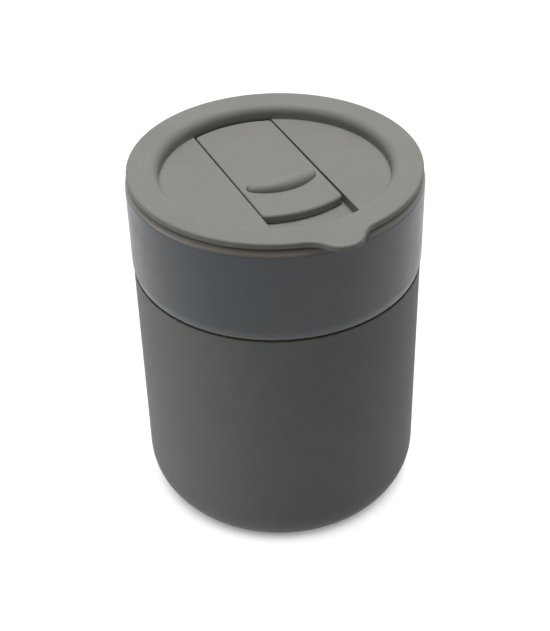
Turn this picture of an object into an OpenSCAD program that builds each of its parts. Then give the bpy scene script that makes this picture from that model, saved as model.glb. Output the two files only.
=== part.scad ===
// Lidded soup mug: a glazed ceramic cup in a silicone sleeve, closed by a press-in lid with a slider.
// Sizes are in millimetres. The origin is the centre of the base, on the table, and +Z is up.
// The lid's pull tab points to -Y, the slider opens towards it, and the drinking hole is at +Y.

/* [Cup] */
// Outer diameter of the bare ceramic band
cup_d = 90; // [80:0.5:110]
// Height of the ceramic rim above the table
rim_h = 118.9; // [90:0.2:150]
// Height of the bare ceramic band, from the rim down to its ledge
band_h = 31; // [24:0.1:40]
// Thickness of the ceramic wall
cup_wall = 4; // [3:0.1:5]
// Thickness of the ceramic floor
cup_floor_t = 6; // [3:0.5:9]
// Fillet between the inside wall and the floor
cup_floor_fillet = 8; // [2:0.5:12]
// Rounding of the rim's outer edge
lip_outer_r = 3; // [1:0.1:3.5]
// Rounding of the rim's inner edge
lip_inner_r = 0.8; // [0.3:0.1:1]
// How far the band draws in towards its lower edge
band_draw = 0.5; // [0:0.1:1]
// Height over which the band draws in
band_draw_h = 5; // [2:0.5:10]
// Rounding of the band's lower edge
band_edge_r = 0.6; // [0.2:0.1:1]
// Height over which the inside narrows, above the ledge
throat_h = 10; // [6:0.5:14]

/* [Sleeve] */
// How far the sleeve's surface lies inside the band's surface
sleeve_inset = 0.3; // [0:0.1:1]
// Thickness of the sleeve's wall
sleeve_wall = 2.4; // [1.5:0.1:3.5]
// Thickness of the sleeve under the cup
sleeve_floor_t = 2.6; // [1.5:0.1:4]
// Rounding of the sleeve's foot
sleeve_foot_r = 16; // [4:0.5:18]
// Rounding of the sleeve's top edge
sleeve_edge_r = 0.5; // [0.2:0.1:1]
// Open joint between the band's ledge and the sleeve's top
sleeve_joint = 0.35; // [0:0.05:1]
// Clearance between the sleeve and the ceramic wall
sleeve_clear = 0.1; // [0.05:0.05:0.3]

/* [Lid] */
// How far the lid's edge lies inside the band's surface
lid_inset = 0.7; // [0.5:0.1:2]
// Thickness of the flange that rests on the rim
flange_t = 1.9; // [1.4:0.1:3]
// Rounding of the flange's upper edge
flange_edge_r = 0.7; // [0.2:0.1:0.9]
// Rounding of the flange's lower edge
flange_under_r = 0.15; // [0.1:0.05:0.6]
// Thickness of the lid's moulded walls
lid_wall = 1.6; // [1.2:0.1:2]
// Depth of the round well in the lid
well_depth = 4.5; // [3:0.1:6]
// Rounding of the well's upper edge
well_edge_r = 2.8; // [0.5:0.1:3.2]
// Space between the well's wall and the plug's skirt
moat_w = 1.4; // [0.8:0.1:2]
// Length of the plug below the flange
plug_depth = 10; // [9:0.5:14]
// Clearance between the plug's ribs and the cup's mouth
plug_clear = 0.6; // [0.4:0.1:1]
// Chamfer at the plug's lower end
plug_chamfer = 0.5; // [0.2:0.1:0.8]

/* [Tab] */
// How far the pull tab stands out of the flange
tab_reach = 5.8; // [3:0.1:10]
// Radius of the tab's tip
tab_tip_r = 7; // [5:0.1:9]
// Radius of the hollow blend between the tab and the flange
tab_blend_r = 9.4; // [2:0.1:12]

/* [Slider] */
// Width of the slider
slider_w = 25.8; // [22:0.2:30]
// Travel of the slider from closed to open
slider_travel = 12; // [10:0.5:14]
// Depth of the slider's channel below the well's floor
channel_depth = 2.9; // [2:0.1:3.5]
// Clearance along each side of the slider
slider_side_clear = 0.5; // [0.3:0.05:0.8]
// Clearance at the slider's ends, closed at the back and open at the front
slider_end_clear = 0.9; // [0.4:0.1:1.5]
// Clearance under the slider
slider_under_clear = 0.2; // [0.1:0.05:0.4]
// Radius of the slider's bowed front edge
slider_bow_r = 33; // [26:1:80]
// Distance from the slider's front edge back to the finger ridge
ridge_setback = 12; // [8:0.2:16]
// Radius of the ridge's front, seen from above
ridge_front_r = 16.5; // [14:0.5:30]
// Width of the ridge
ridge_w = 22.5; // [18:0.5:25]
// Height of the ridge
ridge_h = 2.7; // [1:0.1:3.5]
// Distance from the ridge's front back to the middle of its dome
ridge_dome_setback = 5.1; // [3:0.1:7]

/* [Snap legs] */
// Distance between the outer faces of the two legs
leg_span = 18; // [14:0.5:22]
// Thickness of a leg
leg_t = 2.4; // [1.8:0.1:3]
// Length of a leg along the slider
leg_l = 5; // [3:0.5:7]
// Distance from the slider's front edge back to the legs
leg_setback = 17.6; // [15:0.2:20]
// How far a leg's hook stands out
hook_reach = 0.8; // [0.5:0.1:1.2]
// Height of a hook
hook_h = 1.4; // [1:0.1:2]
// Clearance between a leg and its slot
leg_clear = 0.3; // [0.2:0.05:0.5]
// Clearance between a hook and the channel's floor
hook_clear = 0.3; // [0.1:0.05:0.5]

/* [Drinking hole] */
// Width of the drinking hole
sip_w = 18; // [12:0.5:22]
// Length of the drinking hole along the slider
sip_l = 8; // [5:0.5:10]

/* [Seal] */
// Height of the seal ring
seal_h = 4.8; // [3:0.1:6]
// Depth of the groove that holds the seal
seal_groove = 0.9; // [0.5:0.1:1.2]
// Clearance between the seal and its groove
seal_seat_clear = 0.1; // [0.05:0.05:0.2]
// Clearance between the seal's lips and the cup's mouth
seal_clear = 0.3; // [0.2:0.05:0.5]
// Height of one lip at its root
seal_lip_h = 1.8; // [1:0.1:2.2]
// Height of one lip at its tip
seal_lip_tip = 0.6; // [0.3:0.1:1]

/* [Hidden] */

$fn = 144;
// Number of straight steps in a rounded profile
arc_steps = 10;
// How far every cut runs past the faces that it opens
overrun = 1;
// How far a raised shape is sunk into the piece that carries it
sink = 0.1;

// Colours
ceramic_colour = [0.38, 0.40, 0.42];
sleeve_colour = [0.56, 0.57, 0.55];
lid_colour = [0.58, 0.57, 0.55];
slider_colour = [0.59, 0.57, 0.55];
seal_colour = [0.50, 0.49, 0.47];

// Cup
cup_r = cup_d / 2;
mouth_r = cup_r - cup_wall;
ledge_z = rim_h - band_h;
band_low_r = cup_r - band_draw;
lip_outer_max_share = 0.78;
lip_inner_max_share = 0.2;
lip_outer_fit = min(lip_outer_r, cup_wall * lip_outer_max_share);
lip_inner_fit = min(lip_inner_r, cup_wall * lip_inner_max_share);
cup_floor_z = sleeve_floor_t + cup_floor_t;

// Sleeve, and the ceramic wall that it fits round
sleeve_r = cup_r - sleeve_inset;
sleeve_top_z = ledge_z - sleeve_joint;
sleeve_bore_r = sleeve_r - sleeve_wall;
sleeve_bore_fillet = max(sleeve_foot_r - sleeve_wall, sleeve_clear);
seat_r = sleeve_bore_r - sleeve_clear;
inner_r = seat_r - cup_wall;

// Lid, from the cup's mouth inwards
lid_r = cup_r - lid_inset;
lid_top_z = rim_h + flange_t;
rib_r = mouth_r - plug_clear;
groove_r = rib_r - seal_groove;
skirt_r = groove_r - lid_wall;
well_wall_r = skirt_r - moat_w;
well_r = well_wall_r - lid_wall;
well_z = lid_top_z - well_depth;
channel_z = well_z - channel_depth;
channel_under_z = channel_z - lid_wall;
channel_w = slider_w + 2 * slider_side_clear;
flange_edge_fit = min(flange_edge_r, flange_t / 2);
flange_under_fit = min(flange_under_r, flange_t / 2);
well_edge_fit = min(well_edge_r, well_depth);

// Seal and its groove, halfway along the plug
groove_mid_z = rim_h - plug_depth / 2;
groove_h = seal_h + 2 * seal_seat_clear;
seal_bore_r = groove_r + seal_seat_clear;
seal_lip_r = mouth_r - seal_clear;
seal_lip_max_share = 0.45;
seal_lip_fit = min(seal_lip_h, seal_h * seal_lip_max_share);
seal_tip_fit = min(seal_lip_tip, seal_lip_fit);

// Tab: the tip's centre, and the centres of the hollow blends that touch both tip and flange
tab_tip_y = lid_r + tab_reach - tab_tip_r;
blend_dist = lid_r + tab_blend_r;
blend_to_tip = tab_tip_r + tab_blend_r;
blend_turn = acos((blend_dist ^ 2 + tab_tip_y ^ 2 - blend_to_tip ^ 2) / (2 * blend_dist * tab_tip_y));
blend_x = blend_dist * sin(blend_turn);
blend_y = blend_dist * cos(blend_turn);

// Slider: its corners just clear the well's wall, behind when closed and in front when open
slider_t = channel_depth - slider_under_clear;
slider_end_r = well_r - slider_end_clear;
corner_y = sqrt(slider_end_r ^ 2 - (slider_w / 2) ^ 2) - slider_travel;
bow_y = sqrt(slider_bow_r ^ 2 - (slider_w / 2) ^ 2) - corner_y;
front_y = slider_bow_r - bow_y;
slider_under_z = well_z - slider_t;
ridge_y = front_y - ridge_setback;
dome_y = ridge_y - ridge_dome_setback;
dome_r = ((ridge_w / 2) ^ 2 + ridge_h ^ 2) / (2 * ridge_h);

// Snap legs and their slots
leg_front_y = front_y - leg_setback;
leg_back_y = leg_front_y - leg_l;
leg_outer_x = leg_span / 2;
leg_inner_x = leg_outer_x - leg_t;
hook_top_z = channel_under_z - hook_clear;
hook_low_z = hook_top_z - hook_h;
slot_w = leg_t + 2 * leg_clear;
slot_l = leg_l + slider_travel + 2 * leg_clear;

// Drinking hole, in the middle of what the open slider uncovers
sip_y = (well_r + slider_end_r - slider_travel) / 2;

// Points along an arc of radius r round c, from angle a0 to angle a1
function arc(c, r, a0, a1) =
    [for (i = [0:arc_steps]) let (a = a0 + (a1 - a0) * i / arc_steps) c + r * [cos(a), sin(a)]];

// Outside of the band from its lower edge up: a parabola that ends upright
band_side = [
    for (i = [1:arc_steps])
        let (fall = 1 - i / arc_steps)
        [cup_r - band_draw * fall ^ 2, ledge_z + band_edge_r + band_draw_h * (1 - fall)]
];

// Inside of the throat from the mouth down: a smooth step
throat_side = [
    for (i = [0:arc_steps])
        let (drop = i / arc_steps)
        [inner_r + (mouth_r - inner_r) * (1 + cos(180 * drop)) / 2, ledge_z + throat_h * (1 - drop)]
];

module ceramic_cup() {
    base_c = [seat_r - sleeve_bore_fillet, sleeve_floor_t + sleeve_bore_fillet];
    edge_c = [band_low_r - band_edge_r, ledge_z + band_edge_r];
    lip_outer_c = [cup_r - lip_outer_fit, rim_h - lip_outer_fit];
    lip_inner_c = [mouth_r + lip_inner_fit, rim_h - lip_inner_fit];
    floor_c = [inner_r - cup_floor_fillet, cup_floor_z + cup_floor_fillet];
    color(ceramic_colour)
        rotate_extrude()
            polygon(concat(
                [[0, sleeve_floor_t]],
                arc(base_c, sleeve_bore_fillet, -90, 0),
                [[seat_r, ledge_z]],
                arc(edge_c, band_edge_r, -90, 0),
                band_side,
                arc(lip_outer_c, lip_outer_fit, 0, 90),
                arc(lip_inner_c, lip_inner_fit, 90, 180),
                throat_side,
                arc(floor_c, cup_floor_fillet, 0, -90),
                [[0, cup_floor_z]]
            ));
}

module silicone_sleeve() {
    foot_c = [sleeve_r - sleeve_foot_r, sleeve_foot_r];
    edge_c = [sleeve_r - sleeve_edge_r, sleeve_top_z - sleeve_edge_r];
    bore_c = [sleeve_bore_r - sleeve_bore_fillet, sleeve_floor_t + sleeve_bore_fillet];
    color(sleeve_colour)
        rotate_extrude()
            polygon(concat(
                [[0, 0]],
                arc(foot_c, sleeve_foot_r, -90, 0),
                arc(edge_c, sleeve_edge_r, 0, 90),
                [[sleeve_bore_r, sleeve_top_z]],
                arc(bore_c, sleeve_bore_fillet, 0, -90),
                [[0, sleeve_floor_t]]
            ));
}

// Flange, well and plug, turned round the mug's axis
module lid_turned() {
    plug_z = rim_h - plug_depth;
    well_under_z = well_z - lid_wall;
    under_c = [lid_r - flange_under_fit, rim_h + flange_under_fit];
    edge_c = [lid_r - flange_edge_fit, lid_top_z - flange_edge_fit];
    well_c = [well_r + well_edge_fit, lid_top_z - well_edge_fit];
    rotate_extrude()
        polygon(concat(
            [[0, well_under_z], [well_wall_r, well_under_z], [well_wall_r, rim_h], [skirt_r, rim_h]],
            [[skirt_r, plug_z], [rib_r - plug_chamfer, plug_z], [rib_r, plug_z + plug_chamfer]],
            [[rib_r, groove_mid_z - groove_h / 2], [groove_r, groove_mid_z - groove_h / 2]],
            [[groove_r, groove_mid_z + groove_h / 2], [rib_r, groove_mid_z + groove_h / 2]],
            [[rib_r, rim_h]],
            arc(under_c, flange_under_fit, -90, 0),
            arc(edge_c, flange_edge_fit, 0, 90),
            arc(well_c, well_edge_fit, 90, 180),
            [[well_r, well_z], [0, well_z]]
        ));
}

// Pull tab: a round tip that runs into the flange through two hollow blends
module lid_tab() {
    translate([0, 0, rim_h])
        linear_extrude(flange_t)
            difference() {
                union() {
                    translate([0, -tab_tip_y])
                        circle(r = tab_tip_r);
                    polygon([[0, 0], [-blend_x, -blend_y], [0, -tab_tip_y], [blend_x, -blend_y]]);
                }
                for (side = [-1, 1])
                    translate([side * blend_x, -blend_y])
                        circle(r = tab_blend_r);
                circle(r = well_r + well_edge_fit);
            }
}

// Strip across the lid, of width w, kept inside radius r and between two heights
module lid_strip(w, r, z_low, z_high) {
    translate([0, 0, z_low])
        linear_extrude(z_high - z_low)
            intersection() {
                square([w, 2 * r], center = true);
                circle(r = r);
            }
}

// Drinking hole: a slot with round ends
module sip_hole() {
    flat_w = sip_w - sip_l;
    translate([0, sip_y, channel_under_z - overrun])
        linear_extrude(lid_wall + 2 * overrun) {
            square([flat_w, sip_l], center = true);
            for (side = [-1, 1])
                translate([side * flat_w / 2, 0])
                    circle(d = sip_l);
        }
}

// Slots in the channel's floor, along which the snap legs run
module leg_slots() {
    slot_mid_x = (leg_outer_x + leg_inner_x) / 2;
    for (side = [-1, 1])
        translate([side * slot_mid_x, slot_l / 2 - leg_front_y - slider_travel - leg_clear, channel_z])
            cube([slot_w, slot_l, 2 * (lid_wall + overrun)], center = true);
}

module lid() {
    color(lid_colour)
        difference() {
            union() {
                lid_turned();
                lid_tab();
                lid_strip(channel_w + 2 * lid_wall, well_wall_r, channel_under_z, well_z);
            }
            lid_strip(channel_w, well_r, channel_z, well_z + overrun);
            sip_hole();
            leg_slots();
        }
}

module lid_seal() {
    low_z = groove_mid_z - seal_h / 2;
    high_z = groove_mid_z + seal_h / 2;
    lip_mid_zs = [low_z + seal_lip_fit / 2, high_z - seal_lip_fit / 2];
    color(seal_colour)
        rotate_extrude()
            polygon(concat(
                [[seal_bore_r, low_z]],
                [
                    for (mid_z = lip_mid_zs)
                        each [
                            [rib_r, mid_z - seal_lip_fit / 2],
                            [seal_lip_r, mid_z - seal_tip_fit / 2],
                            [seal_lip_r, mid_z + seal_tip_fit / 2],
                            [rib_r, mid_z + seal_lip_fit / 2]
                        ]
                ],
                [[seal_bore_r, high_z]]
            ));
}

// Slider seen from above: straight sides, a back that follows the well and a bowed front
module slider_outline() {
    intersection() {
        square([slider_w, 2 * slider_end_r], center = true);
        circle(r = slider_end_r);
        translate([0, bow_y])
            circle(r = slider_bow_r);
    }
}

// Finger ridge: a low dome, cut off steeply by a round front
module finger_ridge() {
    intersection() {
        translate([0, 0, well_z - sink])
            linear_extrude(ridge_h + sink)
                intersection() {
                    slider_outline();
                    translate([0, ridge_front_r - ridge_y])
                        circle(r = ridge_front_r);
                }
        translate([0, -dome_y, well_z + ridge_h - dome_r])
            sphere(r = dome_r);
    }
}

// One snap leg, on the +X side: it drops through its slot and hooks outwards under the channel
module snap_leg() {
    translate([0, -leg_back_y, 0])
        rotate([90, 0, 0])
            linear_extrude(leg_l)
                polygon([
                    [leg_inner_x, slider_under_z + sink],
                    [leg_inner_x, hook_low_z],
                    [leg_outer_x, hook_low_z],
                    [leg_outer_x + hook_reach, hook_top_z],
                    [leg_outer_x, hook_top_z],
                    [leg_outer_x, slider_under_z + sink]
                ]);
}

module slider() {
    color(slider_colour) {
        translate([0, 0, slider_under_z])
            linear_extrude(slider_t)
                slider_outline();
        finger_ridge();
        snap_leg();
        mirror([1, 0, 0])
            snap_leg();
    }
}

ceramic_cup();
silicone_sleeve();
lid();
lid_seal();
slider();
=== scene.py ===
import math

import bmesh
import bpy
from mathutils import Matrix, Vector


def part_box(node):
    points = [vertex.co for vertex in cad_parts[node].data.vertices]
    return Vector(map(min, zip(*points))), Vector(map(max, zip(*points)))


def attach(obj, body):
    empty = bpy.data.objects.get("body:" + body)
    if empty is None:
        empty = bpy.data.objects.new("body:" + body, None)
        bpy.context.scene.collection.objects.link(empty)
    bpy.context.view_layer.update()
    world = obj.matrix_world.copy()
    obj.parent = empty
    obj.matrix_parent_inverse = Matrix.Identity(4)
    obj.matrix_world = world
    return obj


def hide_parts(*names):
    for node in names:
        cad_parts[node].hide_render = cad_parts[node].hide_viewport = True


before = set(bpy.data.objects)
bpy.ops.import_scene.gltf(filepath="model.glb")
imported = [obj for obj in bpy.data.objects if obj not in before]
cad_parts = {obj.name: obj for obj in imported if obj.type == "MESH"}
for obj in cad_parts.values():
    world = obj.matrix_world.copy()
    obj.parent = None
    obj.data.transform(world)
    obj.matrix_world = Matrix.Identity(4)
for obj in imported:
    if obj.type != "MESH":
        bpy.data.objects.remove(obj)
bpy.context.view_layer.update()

# Units and mesh fineness
MM = 0.001
LATHE_SEGMENTS = 240
ARC_STEPS = 12
SMALL_ARC_STEPS = 4
FLANGE_ARC_STEPS = 6
SLIDER_ARC_STEPS = 5
SLIDER_UNDER_ARC_STEPS = 3
LID_STEP_DEGREES = 2
TAB_STEP_DEGREES = 0.5
TAB_SPAN_DEGREES = 18.5
CORNER_APART = math.radians(0.2)
SHARP_ANGLE = math.radians(32)
TOLERANCE = 1e-7

# Small fits to the photograph beyond the solids: the flange's reach and the height of the sleeve's joint
FLANGE_REACH = 0.12 * MM
JOINT_DROP = 0.4 * MM

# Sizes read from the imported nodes
CUP_LOW, CUP_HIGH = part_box("ceramic_cup")
_, SLEEVE_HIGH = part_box("silicone_sleeve")
LID_LOW, LID_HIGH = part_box("lid")
SEAL_LOW, SEAL_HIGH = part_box("lid_seal")
SLIDER_LOW, SLIDER_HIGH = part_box("slider")
CUP_R = CUP_HIGH.x
CUP_BASE_Z = CUP_LOW.z
RIM_Z = CUP_HIGH.z
SLEEVE_R = SLEEVE_HIGH.x
SLEEVE_TOP_Z = SLEEVE_HIGH.z - JOINT_DROP
LID_R = LID_HIGH.x + FLANGE_REACH
LID_TOP_Z = LID_HIGH.z
TAB_END = -LID_LOW.y
PLUG_Z = LID_LOW.z
SLIDER_X = SLIDER_HIGH.x
HOOK_LOW_Z = SLIDER_LOW.z

# Cup
CUP_WALL = 4.0 * MM
CUP_FLOOR_T = 6.0 * MM
CUP_FLOOR_Z = CUP_BASE_Z + CUP_FLOOR_T
CUP_FLOOR_FILLET = 8.0 * MM
MOUTH_R = CUP_R - CUP_WALL
LIP_OUTER_R = 3.0 * MM
LIP_INNER_R = 0.8 * MM
# Heights of the glaze's painted tones at the lip: a pale warm tone that is partly glaze break and partly
# painted highlight and painted reflection of the lid, a paler rim top that is painted highlight, and painted
# shade just under the lip
LIP_TONE_H = 2.1 * MM
LIP_FADE = 0.45 * MM
LIP_LINE_H = 1.3 * MM
LIP_SHADE_H = 1.2 * MM
JOINT_GAP = 0.35 * MM
LEDGE_Z = SLEEVE_TOP_Z + JOINT_GAP
BAND_DRAW = 0.5 * MM
BAND_DRAW_H = 3.2 * MM
BAND_EDGE_R = 0.6 * MM
THROAT_H = 10.0 * MM

# Sleeve
SLEEVE_WALL = 2.4 * MM
SLEEVE_FOOT_R = 16.0 * MM
SLEEVE_EDGE_R = 0.3 * MM
SLEEVE_INNER_EDGE_R = 0.3 * MM
SLEEVE_BORE_R = SLEEVE_R - SLEEVE_WALL
SLEEVE_BORE_FILLET = SLEEVE_FOOT_R - SLEEVE_WALL
SLEEVE_CLEAR = 0.1 * MM
SEAT_R = SLEEVE_BORE_R - SLEEVE_CLEAR
INNER_R = SEAT_R - CUP_WALL

# Lid
FLANGE_EDGE_R = 0.7 * MM
FLANGE_UNDER_R = 0.25 * MM
LID_WALL = 1.6 * MM
WELL_DEPTH = 4.5 * MM
WELL_EDGE_R = 2.8 * MM
MOAT_W = 1.4 * MM
PLUG_CLEAR = 0.6 * MM
PLUG_CHAMFER = 0.5 * MM
SEAL_GROOVE = 0.9 * MM
SEAL_SEAT_CLEAR = 0.1 * MM
RIB_R = MOUTH_R - PLUG_CLEAR
GROOVE_R = RIB_R - SEAL_GROOVE
SKIRT_R = GROOVE_R - LID_WALL
WELL_WALL_R = SKIRT_R - MOAT_W
WELL_R = WELL_WALL_R - LID_WALL
WELL_Z = LID_TOP_Z - WELL_DEPTH
WELL_UNDER_Z = WELL_Z - LID_WALL

# Tab
TAB_TIP_R = 7.0 * MM
TAB_BLEND_R = 9.4 * MM
TAB_TIP_DIST = TAB_END - TAB_TIP_R
BLEND_DIST = LID_R + TAB_BLEND_R
BLEND_TO_TIP = TAB_TIP_R + TAB_BLEND_R
BLEND_TURN = math.acos(
    (BLEND_DIST**2 + TAB_TIP_DIST**2 - BLEND_TO_TIP**2) / (2 * BLEND_DIST * TAB_TIP_DIST)
)

# Slider channel
SIDE_CLEAR = 0.5 * MM
CHANNEL_DEPTH = 2.9 * MM
CHANNEL_EDGE_R = 0.15 * MM
CHANNEL_X = SLIDER_X + SIDE_CLEAR
CHANNEL_Z = WELL_Z - CHANNEL_DEPTH
CHANNEL_UNDER_Z = CHANNEL_Z - LID_WALL
TUB_X = CHANNEL_X + LID_WALL

# Slider
SLIDER_TRAVEL = 12.0 * MM
SLIDER_END_CLEAR = 0.9 * MM
SLIDER_END_R = WELL_R - SLIDER_END_CLEAR
SLIDER_BOW_R = 33.0 * MM
SLIDER_CORNER = 0.8 * MM
SLIDER_EDGE_R = 0.25 * MM
SLIDER_FRONT_EDGE_R = 1.0 * MM
SLIDER_FRONT_FADE = 2.0 * MM
SLIDER_UNDER_EDGE_R = 0.2 * MM
SLIDER_UNDER_CLEAR = 0.2 * MM
SLIDER_UNDER_Z = CHANNEL_Z + SLIDER_UNDER_CLEAR
SLIDER_CORNER_Y = math.sqrt(SLIDER_END_R**2 - SLIDER_X**2) - SLIDER_TRAVEL
BOW_Y = math.sqrt(SLIDER_BOW_R**2 - SLIDER_X**2) - SLIDER_CORNER_Y
FRONT_Y = SLIDER_BOW_R - BOW_Y

# Finger ridge on the slider: a bent roll along a spine, with a ramp behind it
RIDGE_SETBACK = 12.0 * MM
RIDGE_FRONT_R = 16.5 * MM
RIDGE_CREST_SETBACK = 2.4 * MM
RIDGE_SPINE_R = RIDGE_FRONT_R - RIDGE_CREST_SETBACK
RIDGE_SPINE_TURN = math.radians(39.0)
RIDGE_RAMP_L = 6.5 * MM
RIDGE_END_RAMP_L = 3.6 * MM
RIDGE_H = SLIDER_HIGH.z - WELL_Z
RIDGE_END_FALL = 0.36
RIDGE_POWER = 2.1
RIDGE_RAMP_POWER = 3
RIDGE_Y = RIDGE_FRONT_R - (FRONT_Y - RIDGE_SETBACK)

# Snap legs and their slots
LEG_X = 9.0 * MM
LEG_T = 2.4 * MM
LEG_L = 5.0 * MM
LEG_SETBACK = 17.6 * MM
LEG_FRONT_Y = FRONT_Y - LEG_SETBACK
LEG_CLEAR = 0.3 * MM
HOOK_REACH = 0.8 * MM
HOOK_H = 1.4 * MM
SLOT_CORNER_R = 0.5 * MM

# Drinking hole
SIP_W = 18.0 * MM
SIP_L = 8.0 * MM
SIP_EDGE_R = 0.4 * MM
SIP_Y = (WELL_R + SLIDER_END_R - SLIDER_TRAVEL) / 2

# Seal
SEAL_LIP_H = 1.8 * MM
SEAL_TIP_R = 0.3 * MM

# Camera, solved on the photograph's ellipses
CAMERA_AZIMUTH = math.radians(-24.0)
CAMERA_REACH = 344.8 * MM
CAMERA_HEIGHT = 321.34 * MM
CAMERA_PITCH = math.radians(36.8)
CAMERA_YAW = math.radians(-0.178)
CAMERA_ROLL = math.radians(-1.48)
CAMERA_LENS = 75.75
CAMERA_SENSOR = 36.0

# Materials: a noise is its scale and detail, and a roughness is the range that it wanders in
NOISE_SPREAD = (0.3, 0.7)
GRAIN_DEPTH = 0.05 * MM
PLASTIC_CLOUDS = (55, 3)
PLASTIC_GLOSS = (900, 2)
PLASTIC_ROUGHNESS = (0.56, 0.66)
PLASTIC_GRAIN = (5200, 3)
PLASTIC_GRAIN_STRENGTH = 0.18
SILICONE_CLOUDS = (38, 4)
SILICONE_GLOSS = (700, 2)
SILICONE_ROUGHNESS = (0.62, 0.74)
SILICONE_GRAIN = (4200, 3)
SILICONE_GRAIN_STRENGTH = 0.2
SILICONE_SPECULAR = 0.4
SILICONE_SHEEN = 0.13
SILICONE_SHEEN_ROUGHNESS = 0.5
GLAZE_MOTTLE = (70, 4)
GLAZE_GLOSS = (160, 2)
GLAZE_ROUGHNESS = (0.31, 0.37)
GLAZE_WAVES = (60, 2)
GLAZE_WAVE_STRENGTH = 0.05
GLAZE_WAVE_DEPTH = 0.1 * MM

# Colour sockets of a Mix node, which share their names with its other sockets
MIX_FIRST = 6
MIX_SECOND = 7
MIX_RESULT = 2

# Stage: the floor's tones, and its shade near the mug, judged by a sky that leans to the photograph's side
FLOOR_SIZE = 6.0
FLOOR_DROP = 0.2 * MM
FLOOR_COLOUR = (0.3, 0.3, 0.3, 1)
FLOOR_BOUNCE = (0.46, 0.46, 0.46, 1)
FLOOR_SHADE = (0.17, 0.17, 0.17, 1)
FLOOR_WHITE = (0.99, 0.99, 0.99, 1)
CONTACT_REACH = 13.0 * MM
CONTACT_SAMPLES = 16
CONTACT_SHARES = (0.45, 0.66)
SKY_LEAN = 0.7

# Light
AMBIENT = 0.01
LAMP_DISTANCE = 0.9
LOW_LAMP_W = 0.8
LOW_LAMP_H = 0.11


def arc(centre, radius, start, end, steps=ARC_STEPS):
    """Points along an arc in a plane, with its angles in degrees."""
    turns = [math.radians(start + (end - start) * i / steps) for i in range(steps + 1)]
    return [(centre[0] + radius * math.cos(t), centre[1] + radius * math.sin(t)) for t in turns]


def bridge(bm, ring, other):
    """Faces between two closed rings. A ring of one vertex is a pole."""
    count = max(len(ring), len(other))
    if count == 1:
        return
    for i in range(count):
        corners = [ring[i % len(ring)], ring[(i + 1) % len(ring)]]
        corners += [other[(i + 1) % len(other)], other[i % len(other)]]
        bm.faces.new(list(dict.fromkeys(corners)))


def bridge_all(bm, rings):
    """Faces from each ring to the next."""
    for ring, other in zip(rings, rings[1:]):
        bridge(bm, ring, other)


def loop_at(bm, points, z):
    """Vertices of a flat loop at one height."""
    return [bm.verts.new((x, y, z)) for x, y in points]


def fill_flat(bm, loops):
    """Flat faces between an outer loop and the loops of its holes."""
    edges = []
    for loop in loops:
        for a, b in zip(loop, loop[1:] + loop[:1]):
            edges.append(bm.edges.get((a, b)) or bm.edges.new((a, b)))
    bmesh.ops.triangle_fill(bm, use_beauty=True, use_dissolve=False, edges=edges)


def make_piece(name, bm, body, node, material):
    """One closed mesh that rides on a body in place of a CAD node."""
    bmesh.ops.recalc_face_normals(bm, faces=bm.faces)
    mesh = bpy.data.meshes.new(name)
    bm.to_mesh(mesh)
    bm.free()
    mesh.shade_smooth()
    mesh.set_sharp_from_angle(angle=SHARP_ANGLE)
    mesh.materials.append(material)
    piece = bpy.data.objects.new(name, mesh)
    bpy.context.scene.collection.objects.link(piece)
    weighted = piece.modifiers.new("weighted_normals", "WEIGHTED_NORMAL")
    weighted.keep_sharp = True
    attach(piece, body)
    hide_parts(node)


def lathe(profile):
    """A closed profile of radii and heights, turned round the mug's axis."""
    bm = bmesh.new()
    turns = [2 * math.pi * i / LATHE_SEGMENTS for i in range(LATHE_SEGMENTS)]
    rings = []
    for r, z in profile:
        steps = turns if r > TOLERANCE else turns[:1]
        rings.append([bm.verts.new((r * math.cos(t), r * math.sin(t), z)) for t in steps])
    bridge_all(bm, rings + rings[:1])
    return bm


def cup_profile():
    """Ceramic cup: seat for the sleeve, ledge, band, rolled lip, throat and floor."""
    band_low_r = CUP_R - BAND_DRAW
    falls = [1 - i / ARC_STEPS for i in range(1, ARC_STEPS + 1)]
    drops = [i / ARC_STEPS for i in range(ARC_STEPS + 1)]
    base = (SEAT_R - SLEEVE_BORE_FILLET, CUP_BASE_Z + SLEEVE_BORE_FILLET)
    edge = (band_low_r - BAND_EDGE_R, LEDGE_Z + BAND_EDGE_R)
    lip_outer = (CUP_R - LIP_OUTER_R, RIM_Z - LIP_OUTER_R)
    lip_inner = (MOUTH_R + LIP_INNER_R, RIM_Z - LIP_INNER_R)
    floor = (INNER_R - CUP_FLOOR_FILLET, CUP_FLOOR_Z + CUP_FLOOR_FILLET)
    return (
        [(0, CUP_BASE_Z)]
        + arc(base, SLEEVE_BORE_FILLET, -90, 0)
        + [(SEAT_R, LEDGE_Z)]
        + arc(edge, BAND_EDGE_R, -90, 0)
        + [(CUP_R - BAND_DRAW * f * f, LEDGE_Z + BAND_EDGE_R + BAND_DRAW_H * (1 - f)) for f in falls]
        + arc(lip_outer, LIP_OUTER_R, 0, 90)
        + arc(lip_inner, LIP_INNER_R, 90, 180)
        + [
            (INNER_R + (MOUTH_R - INNER_R) * (1 + math.cos(math.pi * d)) / 2, LEDGE_Z + THROAT_H * (1 - d))
            for d in drops
        ]
        + arc(floor, CUP_FLOOR_FILLET, 0, -90)
        + [(0, CUP_FLOOR_Z)]
    )


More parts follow.
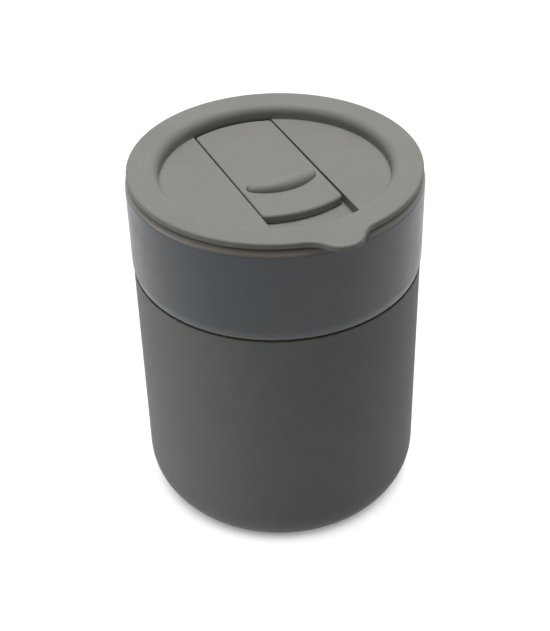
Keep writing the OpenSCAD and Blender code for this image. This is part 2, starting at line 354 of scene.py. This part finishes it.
def sleeve_profile():
    """Silicone sleeve: flat base, round foot, straight wall and a soft top edge."""
    foot = (SLEEVE_R - SLEEVE_FOOT_R, SLEEVE_FOOT_R)
    edge = (SLEEVE_R - SLEEVE_EDGE_R, SLEEVE_TOP_Z - SLEEVE_EDGE_R)
    inner_edge = (SLEEVE_BORE_R + SLEEVE_INNER_EDGE_R, SLEEVE_TOP_Z - SLEEVE_INNER_EDGE_R)
    bore = (SLEEVE_BORE_R - SLEEVE_BORE_FILLET, CUP_BASE_Z + SLEEVE_BORE_FILLET)
    return (
        [(0, 0)]
        + arc(foot, SLEEVE_FOOT_R, -90, 0)
        + arc(edge, SLEEVE_EDGE_R, 0, 90)
        + arc(inner_edge, SLEEVE_INNER_EDGE_R, 90, 180)
        + arc(bore, SLEEVE_BORE_FILLET, 0, -90)
        + [(0, CUP_BASE_Z)]
    )


def seal_profile():
    """Seal ring: a band in the plug's groove with two round-tipped lips."""
    bore_r = GROOVE_R + SEAL_SEAT_CLEAR
    tip_r = SEAL_HIGH.x - SEAL_TIP_R
    lip_mids = (SEAL_LOW.z + SEAL_LIP_H / 2, SEAL_HIGH.z - SEAL_LIP_H / 2)
    points = [(bore_r, SEAL_LOW.z)]
    for mid in lip_mids:
        points.append((RIB_R, mid - SEAL_LIP_H / 2))
        points += arc((tip_r, mid), SEAL_TIP_R, -90, 90)
        points.append((RIB_R, mid + SEAL_LIP_H / 2))
    return points + [(bore_r, SEAL_HIGH.z)]


# Corner of the well's floor along the channel: from the channel's wall up and outwards
CHANNEL_EDGE = [
    (CHANNEL_X + CHANNEL_EDGE_R + dx, WELL_Z - CHANNEL_EDGE_R + dz)
    for dx, dz in arc((0, 0), CHANNEL_EDGE_R, 180, 90, SMALL_ARC_STEPS)
]


def lid_angles():
    """Angles round the lid from its tab, close together along the tab, with every corner of the channel."""
    corner_turns = [math.asin(x / WELL_R) for x, _ in CHANNEL_EDGE]
    corner_turns.append(math.asin(TUB_X / WELL_WALL_R))
    corners = [side * turn for side in (-1, 1) for t in corner_turns for turn in (t, math.pi - t)]
    even = [math.radians(a) for a in range(LID_STEP_DEGREES - 180, 181, LID_STEP_DEGREES)]
    tab_steps = round(TAB_SPAN_DEGREES / TAB_STEP_DEGREES)
    fine = [math.radians(i * TAB_STEP_DEGREES) for i in range(-tab_steps, tab_steps + 1)]
    plain = [a for a in sorted(set(even + fine)) if all(abs(a - c) > CORNER_APART for c in corners)]
    return sorted(plain + corners)


def lid_outline(turn):
    """Point of the flange's edge at an angle from the tab, and the direction that it faces."""
    side = 1 if turn >= 0 else -1
    turn = abs(turn)
    ray = Vector((math.sin(turn), -math.cos(turn)))
    tip = Vector((0, -TAB_TIP_DIST))
    blend = Vector((math.sin(BLEND_TURN), -math.cos(BLEND_TURN))) * BLEND_DIST
    meet = tip + (blend - tip) * (TAB_TIP_R / BLEND_TO_TIP)
    if turn >= BLEND_TURN:
        point = ray * LID_R
        facing = ray
    elif turn >= math.atan2(meet.x, -meet.y):
        across = BLEND_DIST * math.sin(BLEND_TURN - turn)
        point = ray * (BLEND_DIST * math.cos(BLEND_TURN - turn) - math.sqrt(TAB_BLEND_R**2 - across**2))
        facing = (blend - point).normalized()
    else:
        across = TAB_TIP_DIST * math.sin(turn)
        point = ray * (TAB_TIP_DIST * math.cos(turn) + math.sqrt(TAB_TIP_R**2 - across**2))
        facing = (point - tip).normalized()
    return Vector((side * point.x, point.y)), Vector((side * facing.x, facing.y))


def sip_loop(grow):
    """Loop of the drinking hole, grown by a share of its edge's rounding."""
    flat = (SIP_W - SIP_L) / 2
    radius = SIP_L / 2 + grow
    return arc((flat, SIP_Y), radius, -90, 90) + arc((-flat, SIP_Y), radius, 90, 270)


def round_box(x0, x1, y0, y1, radius):
    """Loop of a box with round corners."""
    corners = ((x1, y0, -90), (x1, y1, 0), (x0, y1, 90), (x0, y0, 180))
    loop = []
    for x, y, start in corners:
        centre = (x + math.copysign(radius, x0 + x1 - 2 * x), y + math.copysign(radius, y0 + y1 - 2 * y))
        loop += arc(centre, radius, start, start + 90, SMALL_ARC_STEPS)
    return loop


def lid_circle(bm, angles, r, z):
    """Ring of vertices round the lid's axis."""
    return [bm.verts.new((r * math.sin(a), -r * math.cos(a), z)) for a in angles]


def well_foot(bm, angles):
    """Foot of the well's wall: on the well's floor, down the channel's rounded edge, or in the channel."""
    foot = []
    for a in angles:
        x = abs(WELL_R * math.sin(a))
        on_edge = [z for edge_x, z in CHANNEL_EDGE if abs(edge_x - x) < TOLERANCE]
        z = on_edge[0] if on_edge else (WELL_Z if x > CHANNEL_X else CHANNEL_EDGE[0][1])
        foot.append(bm.verts.new((WELL_R * math.sin(a), -WELL_R * math.cos(a), z)))
    return foot


def lid_outside(bm, angles):
    """Rings from the moat round the plug and over the flange to the foot of the well's wall."""
    outline = [lid_outline(a) for a in angles]

    def flange_ring(depth, z):
        return [bm.verts.new((*(point - facing * depth), z)) for point, facing in outline]

    groove_low = SEAL_LOW.z - SEAL_SEAT_CLEAR
    groove_high = SEAL_HIGH.z + SEAL_SEAT_CLEAR
    rings = [lid_circle(bm, angles, r, z) for r, z in (
        (WELL_WALL_R, RIM_Z), (SKIRT_R, RIM_Z), (SKIRT_R, PLUG_Z), (RIB_R - PLUG_CHAMFER, PLUG_Z),
        (RIB_R, PLUG_Z + PLUG_CHAMFER), (RIB_R, groove_low), (GROOVE_R, groove_low),
        (GROOVE_R, groove_high), (RIB_R, groove_high), (RIB_R, RIM_Z),
    )]
    rings += [
        flange_ring(FLANGE_UNDER_R - dx, RIM_Z + FLANGE_UNDER_R + dz)
        for dx, dz in arc((0, 0), FLANGE_UNDER_R, -90, 0, SMALL_ARC_STEPS)
    ]
    rings += [
        flange_ring(FLANGE_EDGE_R - dx, LID_TOP_Z - FLANGE_EDGE_R + dz)
        for dx, dz in arc((0, 0), FLANGE_EDGE_R, 0, 90, FLANGE_ARC_STEPS)
    ]
    rings += [
        lid_circle(bm, angles, WELL_R + WELL_EDGE_R + dr, LID_TOP_Z - WELL_EDGE_R + dz)
        for dr, dz in arc((0, 0), WELL_EDGE_R, 90, 180)
    ]
    return rings + [well_foot(bm, angles)]


def step_down(bm, ring, half_w, low_z, steps):
    """Floor on both sides of a channel, and the channel's walls. Returns the loop of its lower edge.

    steps are the half widths down each wall's rounded edge, from the lowest to the highest."""
    near = [i for i, v in enumerate(ring) if abs(v.co.x) < half_w + TOLERANCE]
    low = {i: bm.verts.new((ring[i].co.x, ring[i].co.y, low_z)) for i in near}
    for i in near:
        j = (i + 1) % len(ring)
        if j in low:
            bm.faces.new((ring[i], ring[j], low[j], low[i]))
    for side in (-1, 1):
        outer = [v for v in ring if side * v.co.x > steps[-1] - TOLERANCE]
        bm.faces.new(sorted(outer, key=lambda v: v.co.y))
        ends = [sorted((v for v in ring if abs(side * v.co.x - x) < TOLERANCE), key=lambda v: v.co.y)
                for x in steps]
        lowest = sorted((v for v in low.values() if abs(side * v.co.x - half_w) < TOLERANCE),
                        key=lambda v: v.co.y)
        for pair, other in zip([lowest] + ends, ends):
            bm.faces.new((pair[0], pair[1], other[1], other[0]))
    front = sorted((v for v in low.values() if v.co.y < 0), key=lambda v: v.co.x)
    back = sorted((v for v in low.values() if v.co.y > 0), key=lambda v: -v.co.x)
    return front + back


def lid_holes(bm):
    """Drinking hole and the snap legs' slots, each as its rings from the channel's floor down."""
    sip_rings = [
        loop_at(bm, sip_loop(SIP_EDGE_R + dx), CHANNEL_Z - SIP_EDGE_R + dz)
        for dx, dz in arc((0, 0), SIP_EDGE_R, 90, 180, SMALL_ARC_STEPS)
    ]
    holes = [sip_rings + [loop_at(bm, sip_loop(0), CHANNEL_UNDER_Z)]]
    slot_y0 = -LEG_FRONT_Y - SLIDER_TRAVEL - LEG_CLEAR
    slot_y1 = -LEG_FRONT_Y + LEG_L + LEG_CLEAR
    for side in (-1, 1):
        xs = sorted((side * (LEG_X + LEG_CLEAR), side * (LEG_X - LEG_T - LEG_CLEAR)))
        loop = round_box(*xs, slot_y0, slot_y1, SLOT_CORNER_R)
        holes.append([loop_at(bm, loop, CHANNEL_Z), loop_at(bm, loop, CHANNEL_UNDER_Z)])
    return holes


def lid_mesh():
    """Lid: flange with its tab, well, channel, drinking hole, slots and hollow plug, as one closed mesh."""
    bm = bmesh.new()
    angles = lid_angles()
    outside = lid_outside(bm, angles)
    bridge_all(bm, outside)
    under = lid_circle(bm, angles, WELL_WALL_R, WELL_UNDER_Z)
    bridge(bm, outside[0], under)
    channel_loop = step_down(bm, outside[-1], CHANNEL_X, CHANNEL_Z, [x for x, _ in CHANNEL_EDGE])
    tub_loop = step_down(bm, under, TUB_X, CHANNEL_UNDER_Z, [TUB_X])
    holes = lid_holes(bm)
    for hole in holes:
        bridge_all(bm, hole)
    fill_flat(bm, [channel_loop] + [hole[0] for hole in holes])
    fill_flat(bm, [tub_loop] + [hole[-1] for hole in holes])
    return bm


def soft_corner(before, tip, after):
    """Points of a small curve that rounds off a corner."""
    shares = [i / SLIDER_ARC_STEPS for i in range(SLIDER_ARC_STEPS + 1)]
    return [before * (1 - s) ** 2 + tip * 2 * s * (1 - s) + after * s * s for s in shares]


def slider_outline():
    """Loop of the slider from above: straight sides, a back that follows the well, and a bowed front."""
    back_turn = math.asin(SLIDER_X / SLIDER_END_R)
    bow_turn = math.asin(SLIDER_X / SLIDER_BOW_R)

    def back(turn):
        return Vector((SLIDER_END_R * math.sin(turn), SLIDER_END_R * math.cos(turn)))

    def bow(turn):
        return Vector((SLIDER_BOW_R * math.sin(turn), BOW_Y - SLIDER_BOW_R * math.cos(turn)))

    back_cut = back_turn - SLIDER_CORNER / SLIDER_END_R
    bow_cut = bow_turn - SLIDER_CORNER / SLIDER_BOW_R
    along = Vector((0, SLIDER_CORNER))
    steps = 4 * ARC_STEPS
    loop = soft_corner(back(back_turn) - along, back(back_turn), back(back_cut))
    loop += [back(back_cut * (1 - 2 * i / steps)) for i in range(1, steps)]
    loop += soft_corner(back(-back_cut), back(-back_turn), back(-back_turn) - along)
    loop += soft_corner(bow(-bow_turn) + along, bow(-bow_turn), bow(-bow_cut))
    loop += [bow(bow_cut * (2 * i / steps - 1)) for i in range(1, steps)]
    loop += soft_corner(bow(bow_cut), bow(bow_turn), bow(bow_turn) + along)
    return loop


def inset(loop, distances):
    """Loop moved inwards by a distance for each point. It runs counter-clockwise."""
    moved = []
    for i, (point, distance) in enumerate(zip(loop, distances)):
        along = loop[(i + 1) % len(loop)] - loop[i - 1]
        moved.append(point + Vector((-along.y, along.x)).normalized() * distance)
    return moved


def edge_radius(point):
    """Rounding of the slider's upper edge: small along the channel and fuller across the front."""
    share = min(1, max(0, (SLIDER_FRONT_FADE - SLIDER_CORNER_Y - point.y) / SLIDER_FRONT_FADE))
    return SLIDER_EDGE_R + (SLIDER_FRONT_EDGE_R - SLIDER_EDGE_R) * share


def ease(share):
    """Smooth rise from 0 to 1, level at both ends."""
    return share * share * (3 - 2 * share)


def ridge_patch(bm):
    """Finger ridge: steep in front and at its round ends, with a long ramp behind. Returns its outer loop."""
    spine_steps = 64
    cap_steps = 18
    ray_steps = 16
    spine = []
    for i in range(spine_steps + 1):
        share = 2 * i / spine_steps - 1
        turn = share * RIDGE_SPINE_TURN
        height = RIDGE_H * (1 - RIDGE_END_FALL * share * share)
        ramp_l = RIDGE_RAMP_L + (RIDGE_END_RAMP_L - RIDGE_RAMP_L) * share * share
        place = (RIDGE_SPINE_R * math.sin(turn), RIDGE_Y - RIDGE_SPINE_R * math.cos(turn), WELL_Z + height)
        spine.append((bm.verts.new(place), turn, ramp_l))

    def ray(top, turn, ramp_l, swing):
        """Vertices from the spine to the foot. swing is 0 straight ahead and pi straight back."""
        ramp = max(0, -math.cos(swing)) ** RIDGE_RAMP_POWER
        reach = RIDGE_CREST_SETBACK + (ramp_l - RIDGE_CREST_SETBACK) * ramp
        ahead = Vector((math.sin(turn + swing), -math.cos(turn + swing), 0))
        vertices = [top]
        for j in range(1, ray_steps + 1):
            out = math.sin(math.pi / 2 * j / ray_steps)
            roll = (1 - out**RIDGE_POWER) ** (1 / RIDGE_POWER)
            share = (1 - ramp) * roll + ramp * (1 - ease(out))
            place = top.co + ahead * reach * out
            place.z = WELL_Z + (top.co.z - WELL_Z) * share
            vertices.append(bm.verts.new(place))
        return vertices

    swings = [math.pi * k / cap_steps for k in range(1, cap_steps)]
    rays = [ray(*point, 0) for point in spine]
    rays += [ray(*spine[-1], swing) for swing in swings]
    rays += [ray(*point, math.pi) for point in reversed(spine)]
    rays += [ray(*spine[0], math.pi + swing) for swing in swings]
    for near, other in zip(rays, rays[1:] + rays[:1]):
        for j in range(ray_steps):
            corners = (near[j], near[j + 1], other[j + 1], other[j])
            bm.faces.new(list(dict.fromkeys(corners)))
    return [vertices[-1] for vertices in rays]


def snap_legs(bm):
    """Two hooked legs under the slider. Returns the loops where they meet its underside."""
    hook_top_z = HOOK_LOW_Z + HOOK_H
    section = (
        (LEG_X - LEG_T, SLIDER_UNDER_Z), (LEG_X - LEG_T, HOOK_LOW_Z), (LEG_X, HOOK_LOW_Z),
        (LEG_X + HOOK_REACH, hook_top_z), (LEG_X, hook_top_z), (LEG_X, SLIDER_UNDER_Z),
    )
    loops = []
    for side in (-1, 1):
        ends = [
            [bm.verts.new((side * x, y, z)) for x, z in section]
            for y in (-LEG_FRONT_Y, -LEG_FRONT_Y + LEG_L)
        ]
        for end in ends:
            bm.faces.new(end)
        for i in range(len(section) - 1):
            bm.faces.new((ends[0][i], ends[0][i + 1], ends[1][i + 1], ends[1][i]))
        loops.append([ends[0][0], ends[0][-1], ends[1][-1], ends[1][0]])
    return loops


def slider_mesh():
    """Slider: plate with soft edges, finger ridge and two hooked snap legs, as one closed mesh."""
    bm = bmesh.new()
    outline = slider_outline()
    radii = [edge_radius(point) for point in outline]
    rings = []
    for dx, dz in arc((0, 0), SLIDER_UNDER_EDGE_R, -90, 0, SLIDER_UNDER_ARC_STEPS):
        moved = inset(outline, [SLIDER_UNDER_EDGE_R - dx] * len(outline))
        rings.append(loop_at(bm, moved, SLIDER_UNDER_Z + SLIDER_UNDER_EDGE_R + dz))
    for right, up in arc((0, 0), 1, 0, 90, SLIDER_ARC_STEPS):
        moved = inset(outline, [r * (1 - right) for r in radii])
        rings.append([bm.verts.new((p.x, p.y, WELL_Z - r * (1 - up))) for p, r in zip(moved, radii)])
    bridge_all(bm, rings)
    fill_flat(bm, [rings[-1], ridge_patch(bm)])
    fill_flat(bm, [rings[0]] + snap_legs(bm))
    return bm


def linear(red, green, blue):
    """A colour written as 8-bit sRGB, as Blender's sockets take it."""
    shares = [v / 255 for v in (red, green, blue)]
    return (*[s / 12.92 if s <= 0.04045 else ((s + 0.055) / 1.055) ** 2.4 for s in shares], 1.0)


class Nodes:
    """A material's node tree, with short calls to add and join nodes."""

    def __init__(self, name):
        self.material = bpy.data.materials.new(name)
        self.material.use_nodes = True
        self.tree = self.material.node_tree
        self.shader = self.tree.nodes["Principled BSDF"]
        self.place = self.add("ShaderNodeTexCoord").outputs["Object"]

    def add(self, kind, **settings):
        node = self.tree.nodes.new(kind)
        for key, value in settings.items():
            setattr(node, key, value)
        return node

    def join(self, output, socket):
        self.tree.links.new(output, socket)

    def set(self, **values):
        for key, value in values.items():
            self.shader.inputs[key.replace("_", " ")].default_value = value

    def noise(self, scale, detail):
        node = self.add("ShaderNodeTexNoise")
        self.join(self.place, node.inputs["Vector"])
        node.inputs["Scale"].default_value = scale
        node.inputs["Detail"].default_value = detail
        return node.outputs["Fac"]

    def ramp(self, value, low, high, to_low=0.0, to_high=1.0):
        node = self.add("ShaderNodeMapRange", interpolation_type="SMOOTHSTEP")
        self.join(value, node.inputs["Value"])
        for key, number in zip(("From Min", "From Max", "To Min", "To Max"), (low, high, to_low, to_high)):
            node.inputs[key].default_value = number
        return node.outputs["Result"]

    def wander(self, noise, low=0.0, high=1.0):
        return self.ramp(self.noise(*noise), *NOISE_SPREAD, low, high)

    def mix(self, share, first, second):
        node = self.add("ShaderNodeMix", data_type="RGBA")
        self.join(share, node.inputs["Factor"])
        for socket, colour in zip((node.inputs[MIX_FIRST], node.inputs[MIX_SECOND]), (first, second)):
            if isinstance(colour, tuple):
                socket.default_value = colour
            else:
                self.join(colour, socket)
        return node.outputs[MIX_RESULT]

    def bump(self, height, strength, distance):
        node = self.add("ShaderNodeBump")
        self.join(height, node.inputs["Height"])
        node.inputs["Strength"].default_value = strength
        node.inputs["Distance"].default_value = distance
        self.join(node.outputs["Normal"], self.shader.inputs["Normal"])


def moulded_plastic(name, colour, lighter):
    """Soft-touch moulded plastic: a fine even grain, with faint cloudiness in colour and gloss."""
    m = Nodes(name)
    m.join(m.mix(m.wander(PLASTIC_CLOUDS), colour, lighter), m.shader.inputs["Base Color"])
    m.join(m.wander(PLASTIC_GLOSS, *PLASTIC_ROUGHNESS), m.shader.inputs["Roughness"])
    m.bump(m.noise(*PLASTIC_GRAIN), PLASTIC_GRAIN_STRENGTH, GRAIN_DEPTH)
    return m.material


def silicone(name, colour, lighter):
    """Matte silicone: a dusty sheen over a fine grain."""
    m = Nodes(name)
    m.join(m.mix(m.wander(SILICONE_CLOUDS), colour, lighter), m.shader.inputs["Base Color"])
    m.join(m.wander(SILICONE_GLOSS, *SILICONE_ROUGHNESS), m.shader.inputs["Roughness"])
    m.set(Specular_IOR_Level=SILICONE_SPECULAR)
    m.set(Sheen_Weight=SILICONE_SHEEN, Sheen_Roughness=SILICONE_SHEEN_ROUGHNESS)
    m.bump(m.noise(*SILICONE_GRAIN), SILICONE_GRAIN_STRENGTH, GRAIN_DEPTH)
    return m.material


def glaze(name, colour, lighter, glaze_break_and_highlight, rim_highlight, lip_shade):
    """Satin glaze with soft mottling. Along the lip and the band's lower edge, a pale warm tone is partly
    glaze break and partly painted highlight and painted reflection of the lid. The rim's top is painted paler
    as a highlight, and a darker band under the lip is painted shade.
    """
    m = Nodes(name)
    parts = m.add("ShaderNodeSeparateXYZ")
    m.join(m.place, parts.inputs["Vector"])
    body = m.mix(m.wander(GLAZE_MOTTLE), colour, lighter)
    lip_z = RIM_Z - LIP_TONE_H
    # Painted shade: the glaze is darker in a band just under the lip, where the rolled lip turns away from
    # the light
    lip_shade_mask = m.ramp(parts.outputs["Z"], lip_z - LIP_SHADE_H, lip_z)
    lip = m.ramp(parts.outputs["Z"], lip_z - LIP_FADE, lip_z + LIP_FADE)
    # The band's rounded lower edge takes the pale tone: partly glaze break, partly a painted highlight where
    # the edge would show the floor's reflection
    edge = m.ramp(parts.outputs["Z"], LEDGE_Z + 2 * BAND_EDGE_R, LEDGE_Z + BAND_EDGE_R / 2)
    # Painted highlight: the top of the lip above this line takes the paler rim tone
    above = m.ramp(parts.outputs["Z"], lip_z + LIP_LINE_H - LIP_FADE, lip_z + LIP_LINE_H + LIP_FADE)
    upper = m.mix(lip, m.mix(lip_shade_mask, body, lip_shade), m.mix(above, glaze_break_and_highlight, rim_highlight))
    m.join(m.mix(edge, upper, glaze_break_and_highlight), m.shader.inputs["Base Color"])
    m.join(m.wander(GLAZE_GLOSS, *GLAZE_ROUGHNESS), m.shader.inputs["Roughness"])
    m.bump(m.noise(*GLAZE_WAVES), GLAZE_WAVE_STRENGTH, GLAZE_WAVE_DEPTH)
    return m.material


LID_PLASTIC = moulded_plastic(
    "lid_plastic", colour=linear(147, 144, 139), lighter=linear(152, 149, 144)
)
SLIDER_PLASTIC = moulded_plastic(
    "slider_plastic", colour=linear(148, 145, 140), lighter=linear(153, 150, 145)
)
SLEEVE_SILICONE = silicone(
    "sleeve_silicone", colour=linear(144, 147, 143), lighter=linear(148, 151, 147)
)
SEAL_SILICONE = silicone(
    "seal_silicone", colour=linear(126, 124, 119), lighter=linear(131, 129, 124)
)
# The pale tone is partly glaze break and partly painted highlight and painted reflection, the rim tone is
# painted highlight, and the darker tone is painted shade under the lip
CUP_GLAZE = glaze(
    "cup_glaze", colour=linear(97, 104, 109), lighter=linear(100, 107, 112),
    glaze_break_and_highlight=linear(158, 152, 137), rim_highlight=linear(142, 142, 138), lip_shade=linear(82, 87, 90),
)

make_piece("ceramic_cup_glazed", lathe(cup_profile()), "cup", "ceramic_cup", CUP_GLAZE)
make_piece(
    "sleeve_moulded", lathe(sleeve_profile()), "cup", "silicone_sleeve", SLEEVE_SILICONE
)
make_piece("lid_moulded", lid_mesh(), "lid", "lid", LID_PLASTIC)
make_piece("lid_seal_ring", lathe(seal_profile()), "lid", "lid_seal", SEAL_SILICONE)
make_piece("slider_moulded", slider_mesh(), "slider", "slider", SLIDER_PLASTIC)


def seen_directly(tree):
    """1 for rays that show the background itself or mirror it, and 0 for rays that only carry its light."""
    path = tree.nodes.new("ShaderNodeLightPath")
    total = path.outputs["Is Camera Ray"]
    for name in ("Is Glossy Ray", "Is Transmission Ray"):
        larger = tree.nodes.new("ShaderNodeMath")
        larger.operation = "MAXIMUM"
        tree.links.new(total, larger.inputs[0])
        tree.links.new(path.outputs[name], larger.inputs[1])
        total = larger.outputs[0]
    return total


def floor_glow(tree):
    """The floor's own white, darker close to the mug.

    Openness is measured towards a sky that leans to the photograph's side, so the shade falls backwards."""
    near = tree.nodes.new("ShaderNodeAmbientOcclusion")
    near.samples = CONTACT_SAMPLES
    near.inputs["Distance"].default_value = CONTACT_REACH
    sky = tree.nodes.new("ShaderNodeCombineXYZ")
    sky.inputs["X"].default_value = SKY_LEAN * math.sin(CAMERA_AZIMUTH)
    sky.inputs["Y"].default_value = -SKY_LEAN * math.cos(CAMERA_AZIMUTH)
    sky.inputs["Z"].default_value = 1.0
    tree.links.new(sky.outputs["Vector"], near.inputs["Normal"])
    open_share = tree.nodes.new("ShaderNodeMapRange")
    open_share.inputs["From Min"].default_value = CONTACT_SHARES[0]
    open_share.inputs["From Max"].default_value = CONTACT_SHARES[1]
    tree.links.new(near.outputs["AO"], open_share.inputs["Value"])
    tone = tree.nodes.new("ShaderNodeMix")
    tone.data_type = "RGBA"
    tone.inputs[MIX_FIRST].default_value = FLOOR_SHADE
    tone.inputs[MIX_SECOND].default_value = FLOOR_WHITE
    tree.links.new(open_share.outputs["Result"], tone.inputs["Factor"])
    glow = tree.nodes.new("ShaderNodeEmission")
    tree.links.new(tone.outputs[MIX_RESULT], glow.inputs["Color"])
    return glow.outputs[0]


def floor_material():
    """White where the floor is seen, and a dimmer tone for the light that it throws back on the mug."""
    material = bpy.data.materials.new("floor")
    material.use_nodes = True
    tree = material.node_tree
    tree.nodes.remove(tree.nodes["Principled BSDF"])
    dim = tree.nodes.new("ShaderNodeBsdfDiffuse")
    dim.inputs["Color"].default_value = FLOOR_BOUNCE
    pale = tree.nodes.new("ShaderNodeBsdfDiffuse")
    pale.inputs["Color"].default_value = FLOOR_COLOUR
    white = tree.nodes.new("ShaderNodeAddShader")
    tree.links.new(pale.outputs[0], white.inputs[0])
    tree.links.new(floor_glow(tree), white.inputs[1])
    choose = tree.nodes.new("ShaderNodeMixShader")
    tree.links.new(seen_directly(tree), choose.inputs[0])
    tree.links.new(dim.outputs[0], choose.inputs[1])
    tree.links.new(white.outputs[0], choose.inputs[2])
    tree.links.new(choose.outputs[0], tree.nodes["Material Output"].inputs["Surface"])
    return material


def make_floor():
    """Plain pale floor under the mug."""
    bm = bmesh.new()
    bmesh.ops.create_grid(bm, x_segments=1, y_segments=1, size=FLOOR_SIZE / 2)
    mesh = bpy.data.meshes.new("floor")
    bm.to_mesh(mesh)
    bm.free()
    mesh.materials.append(floor_material())
    floor = bpy.data.objects.new("floor", mesh)
    floor.location.z = -FLOOR_DROP
    bpy.context.scene.collection.objects.link(floor)


def make_world():
    """White surroundings where they are seen, and a low even light."""
    world = bpy.data.worlds.new("studio")
    bpy.context.scene.world = world
    world.use_nodes = True
    tree = world.node_tree
    ground = tree.nodes["Background"]
    ground.inputs["Color"].default_value = (1, 1, 1, 1)
    level = tree.nodes.new("ShaderNodeMapRange")
    tree.links.new(seen_directly(tree), level.inputs["Value"])
    level.inputs["To Min"].default_value = AMBIENT
    level.inputs["To Max"].default_value = 1.0
    tree.links.new(level.outputs["Result"], ground.inputs["Strength"])


def add_softbox(name, azimuth, elevation, width, height, power):
    """Rectangular lamp that faces the mug. Its azimuth, in degrees, turns right from the camera's side."""
    lamp = bpy.data.lights.new(name, "AREA")
    lamp.shape = "RECTANGLE"
    lamp.size = width
    lamp.size_y = height
    lamp.energy = power
    box = bpy.data.objects.new(name, lamp)
    turn = CAMERA_AZIMUTH + math.radians(azimuth)
    rise = math.radians(elevation)
    away = Vector((math.sin(turn) * math.cos(rise), -math.cos(turn) * math.cos(rise), math.sin(rise)))
    box.location = Vector((0, 0, LID_TOP_Z / 2)) + away * LAMP_DISTANCE
    box.rotation_euler = away.to_track_quat("Z", "Y").to_euler()
    bpy.context.scene.collection.objects.link(box)


def make_camera():
    """Camera at the photograph's view."""
    data = bpy.data.cameras.new("camera")
    data.lens = CAMERA_LENS
    data.sensor_width = CAMERA_SENSOR
    camera = bpy.data.objects.new("camera", data)
    swing = Matrix.Rotation(CAMERA_AZIMUTH, 4, "Z")
    place = swing @ Matrix.Translation((0, -CAMERA_REACH, CAMERA_HEIGHT))
    tilt = Matrix.Rotation(math.pi / 2 - CAMERA_PITCH, 4, "X")
    camera.matrix_world = (
        place @ Matrix.Rotation(-CAMERA_YAW, 4, "Z") @ tilt @ Matrix.Rotation(CAMERA_ROLL, 4, "Z")
    )
    bpy.context.scene.collection.objects.link(camera)
    bpy.context.scene.camera = camera


make_floor()
make_world()
add_softbox("overhead", azimuth=180, elevation=82, width=0.55, height=0.5, power=5.9)
add_softbox("left_low", azimuth=-75, elevation=0, width=LOW_LAMP_W, height=LOW_LAMP_H, power=1.55)
add_softbox("right_low", azimuth=95, elevation=0, width=LOW_LAMP_W, height=LOW_LAMP_H, power=0.3)
make_camera()
bpy.context.scene.view_settings.view_transform = "Standard"
